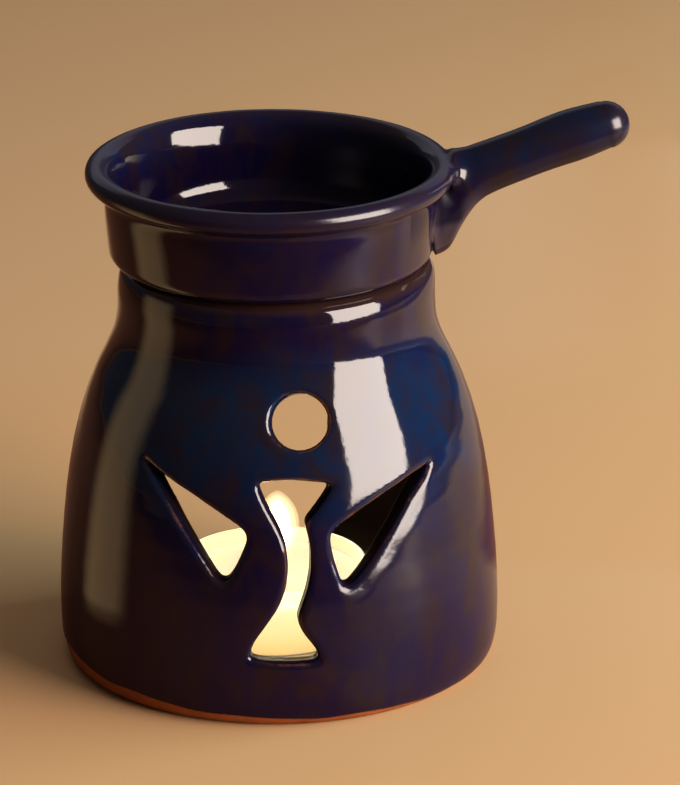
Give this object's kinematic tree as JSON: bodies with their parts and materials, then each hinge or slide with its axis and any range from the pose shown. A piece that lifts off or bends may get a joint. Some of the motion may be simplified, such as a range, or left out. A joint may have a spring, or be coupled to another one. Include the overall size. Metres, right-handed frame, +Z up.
{
  "type": "essential oil burner",
  "caption": "Glazed terracotta oil burner: bell body with a pierced angel figure and back arch, lift-off oil dish with a stick handle, and a tealight in a clear cup.",
  "frame": {"origin": "on the table at the axis of the bell, the middle of the flat foot", "axes": "+Z up; the pierced figure faces -Y; the dish handle points along +X"},
  "size_m": [0.1155, 0.0891, 0.1139],
  "materials": {
    "body_glaze": "deep cobalt blue glossy glaze over red terracotta, bare at the foot",
    "dish_glaze": "deep cobalt blue glossy glaze over red terracotta",
    "clear_cup": "clear moulded plastic",
    "wax": null,
    "sustainer_steel": "stamped tinned steel",
    "wick_cotton": "braided cotton, charred at the top"
  },
  "bodies": {
    "base": {"burner_body": "body_glaze"},
    "dish": {"oil_dish": "dish_glaze", "dish_handle": "dish_glaze"},
    "tealight": {"tealight_cup": "clear_cup", "tealight_wax": "wax", "wick_sustainer": "sustainer_steel", "tealight_wick": "wick_cotton"}
  },
  "joints": [
    {"name": "dish_lift", "type": "slide", "parent": "base", "child": "dish", "axis": [0, 0, 1], "range_m": [0, 0.06]},
    {"name": "tealight_out", "type": "slide", "parent": "base", "child": "tealight", "axis": [-0.1582, 0.9874, 0], "range_m": [0, 0.075]}
  ]
}
